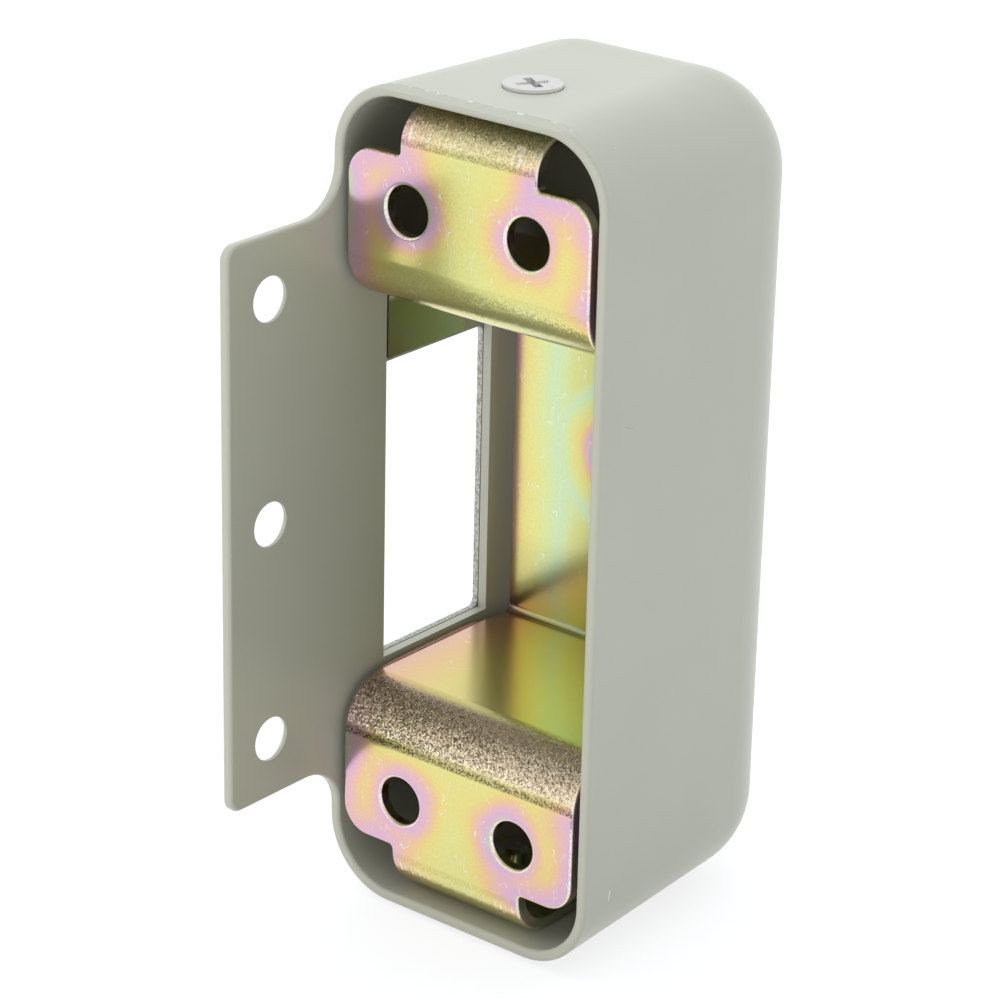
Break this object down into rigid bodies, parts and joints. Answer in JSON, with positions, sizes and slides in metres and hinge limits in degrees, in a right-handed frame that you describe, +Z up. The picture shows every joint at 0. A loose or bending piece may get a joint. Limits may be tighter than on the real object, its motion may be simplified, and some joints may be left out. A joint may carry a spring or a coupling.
{
  "type": "door strike plate",
  "caption": "Surface-mounted strike box for a rim lock: painted sheet steel cover with a drilled screw flange and a bolt window, screwed over a folded zinc-plated bracket.",
  "frame": {"origin": "centre of the rectangle of four frame screw holes, on the front faces of the bracket's plates, which lie against the door frame", "axes": "+Z up along the box's length, +Y away from the door frame into the box's depth, -Y out of the frame screw holes towards the door frame, -X towards the lock"},
  "size_m": [0.0441, 0.0644, 0.1128],
  "materials": {
    "grey_paint": "semi-gloss grey-green stove enamel, worn and chipped at the rim",
    "yellow_zinc": "yellow chromate zinc plating with pink and green iridescence",
    "bright_zinc": "bright zinc plating"
  },
  "bodies": {
    "root": {"cover": "grey_paint", "window_plate": "grey_paint", "bracket": "yellow_zinc", "top_screw": "bright_zinc", "bottom_screw": "bright_zinc"}
  },
  "joints": []
}
